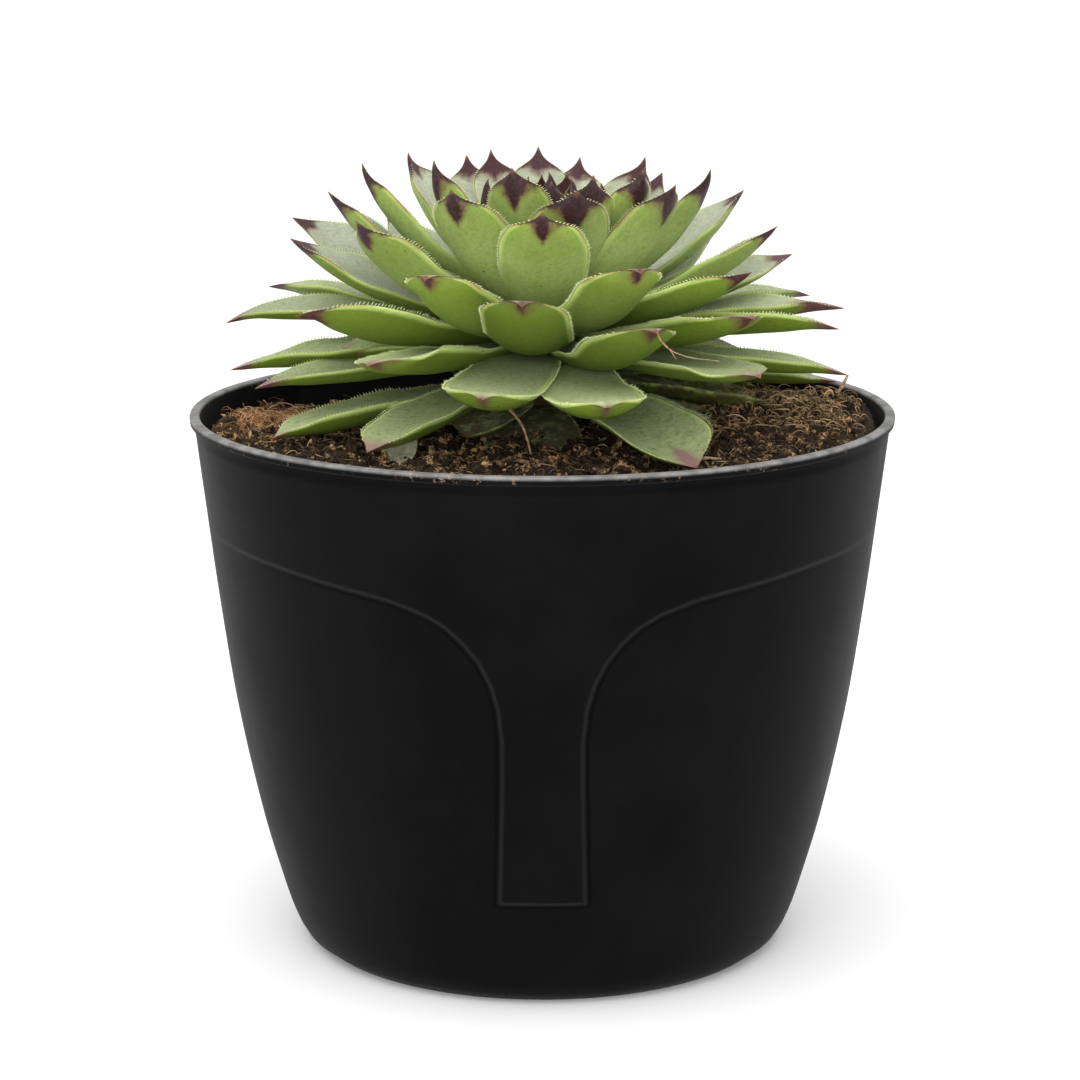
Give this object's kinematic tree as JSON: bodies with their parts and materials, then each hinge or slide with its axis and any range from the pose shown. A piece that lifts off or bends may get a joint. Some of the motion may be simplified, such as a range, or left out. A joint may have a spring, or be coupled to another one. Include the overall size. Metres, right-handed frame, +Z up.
{
  "type": "potted houseleek",
  "caption": "Rosette of pointed fleshy leaves on a short stem, growing in peat in a round tapered plastic pot with a raised T on its side.",
  "frame": {"origin": "middle of the pot's base, on the surface it stands on", "axes": "+Z up, -Y towards the front with the raised T"},
  "size_m": [0.13, 0.13, 0.148],
  "materials": {
    "pot": "matte black moulded plastic",
    "soil": "rough fibrous peat",
    "stem": "dull green-brown stem",
    "leaf": "satin waxy leaf, purple at the tip"
  },
  "bodies": {
    "root": {"pot": "pot", "soil": "soil", "stem": "stem", "bud": "leaf", "leaf_01": "leaf", "leaf_02": "leaf", "leaf_03": "leaf", "leaf_04": "leaf", "leaf_05": "leaf", "leaf_06": "leaf", "leaf_07": "leaf", "leaf_08": "leaf", "leaf_09": "leaf", "leaf_10": "leaf", "leaf_11": "leaf", "leaf_12": "leaf", "leaf_13": "leaf", "leaf_14": "leaf", "leaf_15": "leaf", "leaf_16": "leaf", "leaf_17": "leaf", "leaf_18": "leaf", "leaf_19": "leaf", "leaf_20": "leaf", "leaf_21": "leaf", "leaf_22": "leaf", "leaf_23": "leaf", "leaf_24": "leaf", "leaf_25": "leaf", "leaf_26": "leaf", "leaf_27": "leaf", "leaf_28": "leaf", "leaf_29": "leaf", "leaf_30": "leaf", "leaf_31": "leaf", "leaf_32": "leaf", "leaf_33": "leaf", "leaf_34": "leaf", "leaf_35": "leaf", "leaf_36": "leaf", "leaf_37": "leaf", "leaf_38": "leaf", "leaf_39": "leaf", "leaf_40": "leaf", "leaf_41": "leaf", "leaf_42": "leaf", "leaf_43": "leaf", "leaf_44": "leaf", "leaf_45": "leaf", "leaf_46": "leaf", "leaf_47": "leaf", "leaf_48": "leaf", "leaf_49": "leaf", "leaf_50": "leaf", "leaf_51": "leaf", "leaf_52": "leaf", "leaf_53": "leaf", "leaf_54": "leaf", "leaf_55": "leaf", "leaf_56": "leaf"}
  },
  "joints": []
}
